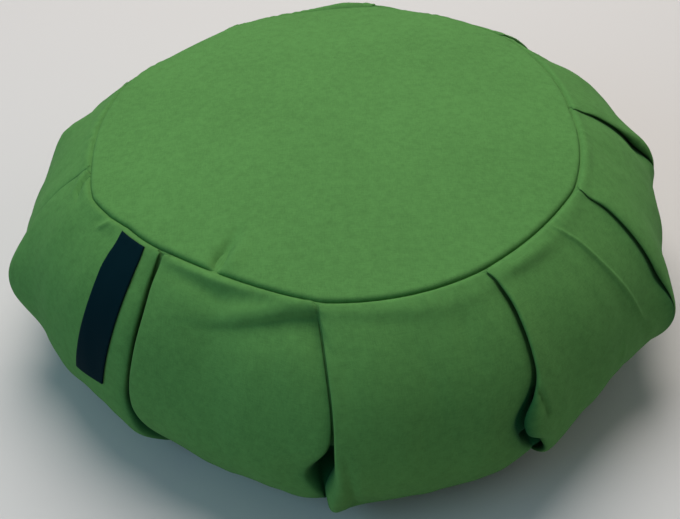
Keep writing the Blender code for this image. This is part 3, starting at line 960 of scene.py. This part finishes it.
def cotton_material(settings):
    """Matt cotton drill: fine diagonal ribs, uneven yarns and a faintly clouded dye."""
    material, shader, nodes = new_material("green cotton", COTTON_FINISH)
    across, along = nodes.cloth_place()
    warp, weft = across / settings.yarn, along / settings.yarn
    warp_round, weft_round = (1 - (yarn % 1 * 2 - 1) ** 2 for yarn in (warp, weft))
    step = nodes.math("FLOOR", warp) + nodes.math("FLOOR", weft)
    over = nodes.math("LESS_THAN", step % TWILL_STEPS, WARP_ON_TOP)
    weave = over * warp_round + (1 - over) * weft_round
    slubs = []
    for x, y in (SLUBS, SLUBS[::-1]):
        yarn_place = nodes.add("ShaderNodeCombineXYZ", None, {0: across * x, 1: along * y})
        slubs.append(nodes.noise(yarn_place))
    slub = (slubs[0] + slubs[1]) * 0.5
    place = nodes.add("ShaderNodeTexCoord", output=3)
    cloud, tint, fluff = (nodes.noise(place, *pattern) for pattern in (CLOUD, TINT, FLUFF))
    light = 0.5
    for pattern, strength in zip((slub, cloud, tint, weave), COTTON_SHADING):
        light = light + (pattern - 0.5) * strength
    dyed = light.mix(*shades(settings.colour, COTTON_SHADES))
    # The painted light and shade that the band's mesh carries.
    painted_light = nodes.add("ShaderNodeAttribute", {"attribute_name": "painted_light"}, output=2)
    # Painted highlight along the fold edges.
    highlighted = (nodes.math("MAXIMUM", painted_light, 0.0) * EDGE_HIGHLIGHT).mix(dyed, EDGE_HIGHLIGHT_COLOUR)
    # Painted shade inside the slots and over the rims before them.
    slot_shaded = nodes.math("MAXIMUM", painted_light * -SLOT_SHADE, 0.0).mix(highlighted, SLOT_SHADE_COLOUR)
    clothe(shader, slot_shaded, weighed((weave, slub, fluff), COTTON_RELIEF), COTTON_FINISH)
    return material


def tape_material(settings):
    """Smooth navy tape, woven in fine ribs across its width."""
    material, shader, nodes = new_material("navy tape", TAPE_FINISH)
    across, along = nodes.cloth_place()
    turns = math.tau / settings.rib
    rib = nodes.math("SINE", along * turns) * 0.5 + 0.5
    thread = nodes.math("SINE", across * (turns * THREADS_PER_RIB)) * 0.5 + 0.5
    light = weighed((rib, thread), TAPE_SHADING)
    woven = light.mix(*shades(settings.colour, TAPE_SHADES))
    clothe(shader, woven, weighed((rib, thread), TAPE_RELIEF), TAPE_FINISH)
    return material


# ---- stage ----

# The lamps: where each one stands, how wide it is, the setting that gives its power, its share
# of that, and its colour.
Lamp = namedtuple("Lamp", "name place size power share colour")
LAMPS = (
    Lamp("overhead light", (0.01, 0.5, 1.3), 1.1, "overhead", 1, (1.07, 1, 0.94)),
    Lamp("left light", (-1, -0.6, 0.75), 0.9, "sides", 1, (0.5, 1, 1.28)),
    Lamp("right light", (1.2, 0.2, 0.7), 0.8, "sides", 0.28, (1, 1.03, 0.95)),
)
SKY_COLOUR = (0.88, 1, 1, 1)


def make_floor(settings):
    """A plain pale floor, level with the underside of the cushion."""
    mesh = bmesh.new()
    bmesh.ops.create_grid(mesh, x_segments=1, y_segments=1, size=settings.floor_size / 2)
    floor = finished("studio_floor", mesh)
    material, shader, _ = new_material("pale floor", FLOOR_FINISH)
    shader.inputs["Base Color"].default_value = (*settings.floor_colour, 1)
    floor.data.materials.append(material)


def make_lights(settings):
    """Round soft lamps that face the cushion, and even light from all round."""
    for lamp in LAMPS:
        data = bpy.data.lights.new(lamp.name, "AREA")
        data.shape = "DISK"
        data.size = lamp.size
        data.energy = getattr(settings, lamp.power) * lamp.share
        data.color = lamp.colour
        light = placed(lamp.name, data)
        light.location = lamp.place
        light.rotation_euler = (-Vector(lamp.place)).to_track_quat("-Z", "Y").to_euler()
    world = bpy.data.worlds.new("studio")
    world.use_nodes = True
    sky = world.node_tree.nodes["Background"]
    sky.inputs["Color"].default_value = SKY_COLOUR
    sky.inputs["Strength"].default_value = settings.ambient
    bpy.context.scene.world = world
    bpy.context.scene.view_settings.view_transform = "Standard"


def make_camera():
    """The camera, where the photograph was taken from."""
    at = Vector(CAMERA_AT)
    forward = (Vector(CAMERA_LOOKS_AT) - at).normalized()
    right = forward.cross(Vector((0, 0, 1))).normalized()
    up = right.cross(forward)
    roll = math.radians(CAMERA_ROLL)
    across = math.cos(roll) * right - math.sin(roll) * up
    upward = math.sin(roll) * right + math.cos(roll) * up
    turned = Matrix((across, upward, -forward)).transposed().to_4x4()
    data = bpy.data.cameras.new("studio camera")
    data.sensor_width = SENSOR
    data.lens = FOCAL_PIXELS * SENSOR / PHOTO_WIDTH
    camera = placed("studio camera", data)
    camera.matrix_world = Matrix.Translation(at) @ turned
    bpy.context.scene.camera = camera


# ---- the add-on ----


def colour_setting(name, description, default):
    return FloatVectorProperty(
        name=name, description=description, subtype="COLOR", size=3, min=0, max=1, default=default
    )


def length_setting(name, description, default, low, high):
    return FloatProperty(
        name=name, description=description, unit="LENGTH", precision=5,
        default=default, min=low, max=high,
    )


def power_setting(name, description, default):
    return FloatProperty(name=name, description=description, unit="POWER", default=default, min=0)


class ZafuCotton(bpy.types.PropertyGroup):
    colour: colour_setting("Cotton colour", "Colour of the dyed cotton", (0.085, 0.225, 0.062))
    yarn: length_setting(
        "Yarn spacing", "Distance from one yarn of the cotton to the next", 0.0005, 0.0002, 0.002
    )


class ZafuTape(bpy.types.PropertyGroup):
    colour: colour_setting("Tape colour", "Colour of the sewn-on tape", (0.002, 0.0125, 0.0175))
    width: length_setting("Tape width", "Width of the sewn-on tape", 0.0188, 0.008, 0.04)
    rib: length_setting(
        "Rib spacing", "Distance from one rib of the tape to the next", 0.0006, 0.0003, 0.002
    )


class ZafuStage(bpy.types.PropertyGroup):
    floor_size: length_setting("Floor size", "Side of the square floor", 12, 1, 50)
    floor_colour: colour_setting("Floor colour", "Colour of the plain floor", (0.62, 0.6, 0.6))
    overhead: power_setting("Overhead light", "Power of the soft light above", 17.5)
    sides: power_setting("Side lights", "Power of the light at the left, the stronger one", 3.5)
    ambient: FloatProperty(
        name="Ambient light", description="Strength of the light from all round",
        default=0.2, min=0,
    )


class ZAFU_OT_cushion(bpy.types.Operator):
    """Build the pleated side band and the two round panels"""

    bl_idname = "zafu.cushion"
    bl_label = "Build cushion"

    def execute(self, context):
        cotton = cotton_material(context.scene.zafu_cotton)
        make_band(cotton)
        make_top_panel(cotton)
        make_base_panel(cotton)
        return {"FINISHED"}


class ZAFU_OT_tape(bpy.types.Operator):
    """Sew the plain tape to the side band"""

    bl_idname = "zafu.tape"
    bl_label = "Sew on tape"

    def execute(self, context):
        settings = context.scene.zafu_tape
        make_tape(tape_material(settings), settings)
        return {"FINISHED"}


class ZAFU_OT_stage(bpy.types.Operator):
    """Set up the floor, the lights and the camera"""

    bl_idname = "zafu.stage"
    bl_label = "Set up stage"

    def execute(self, context):
        settings = context.scene.zafu_stage
        make_floor(settings)
        make_lights(settings)
        make_camera()
        return {"FINISHED"}


class ZAFU_PT_sidebar(bpy.types.Panel):
    bl_idname = "ZAFU_PT_sidebar"
    bl_label = "Pleated zafu"
    bl_space_type = "VIEW_3D"
    bl_region_type = "UI"
    bl_category = "Zafu"

    def draw(self, context):
        for settings in (getattr(context.scene, name) for name in SETTINGS):
            for name in settings.bl_rna.properties.keys():
                if name not in ("rna_type", "name"):
                    self.layout.prop(settings, name)
        for operator in (ZAFU_OT_cushion, ZAFU_OT_tape, ZAFU_OT_stage):
            self.layout.operator(operator.bl_idname)


SETTINGS = {"zafu_cotton": ZafuCotton, "zafu_tape": ZafuTape, "zafu_stage": ZafuStage}
CLASSES = (*SETTINGS.values(), ZAFU_OT_cushion, ZAFU_OT_tape, ZAFU_OT_stage, ZAFU_PT_sidebar)


def register():
    for each in CLASSES:
        bpy.utils.register_class(each)
    for name, group in SETTINGS.items():
        setattr(bpy.types.Scene, name, PointerProperty(type=group))


def unregister():
    for name in SETTINGS:
        delattr(bpy.types.Scene, name)
    for each in reversed(CLASSES):
        bpy.utils.unregister_class(each)


def main():
    register()
    bpy.ops.zafu.stage()
    bpy.ops.zafu.cushion()
    bpy.ops.zafu.tape()


if __name__ == "__main__":
    main()
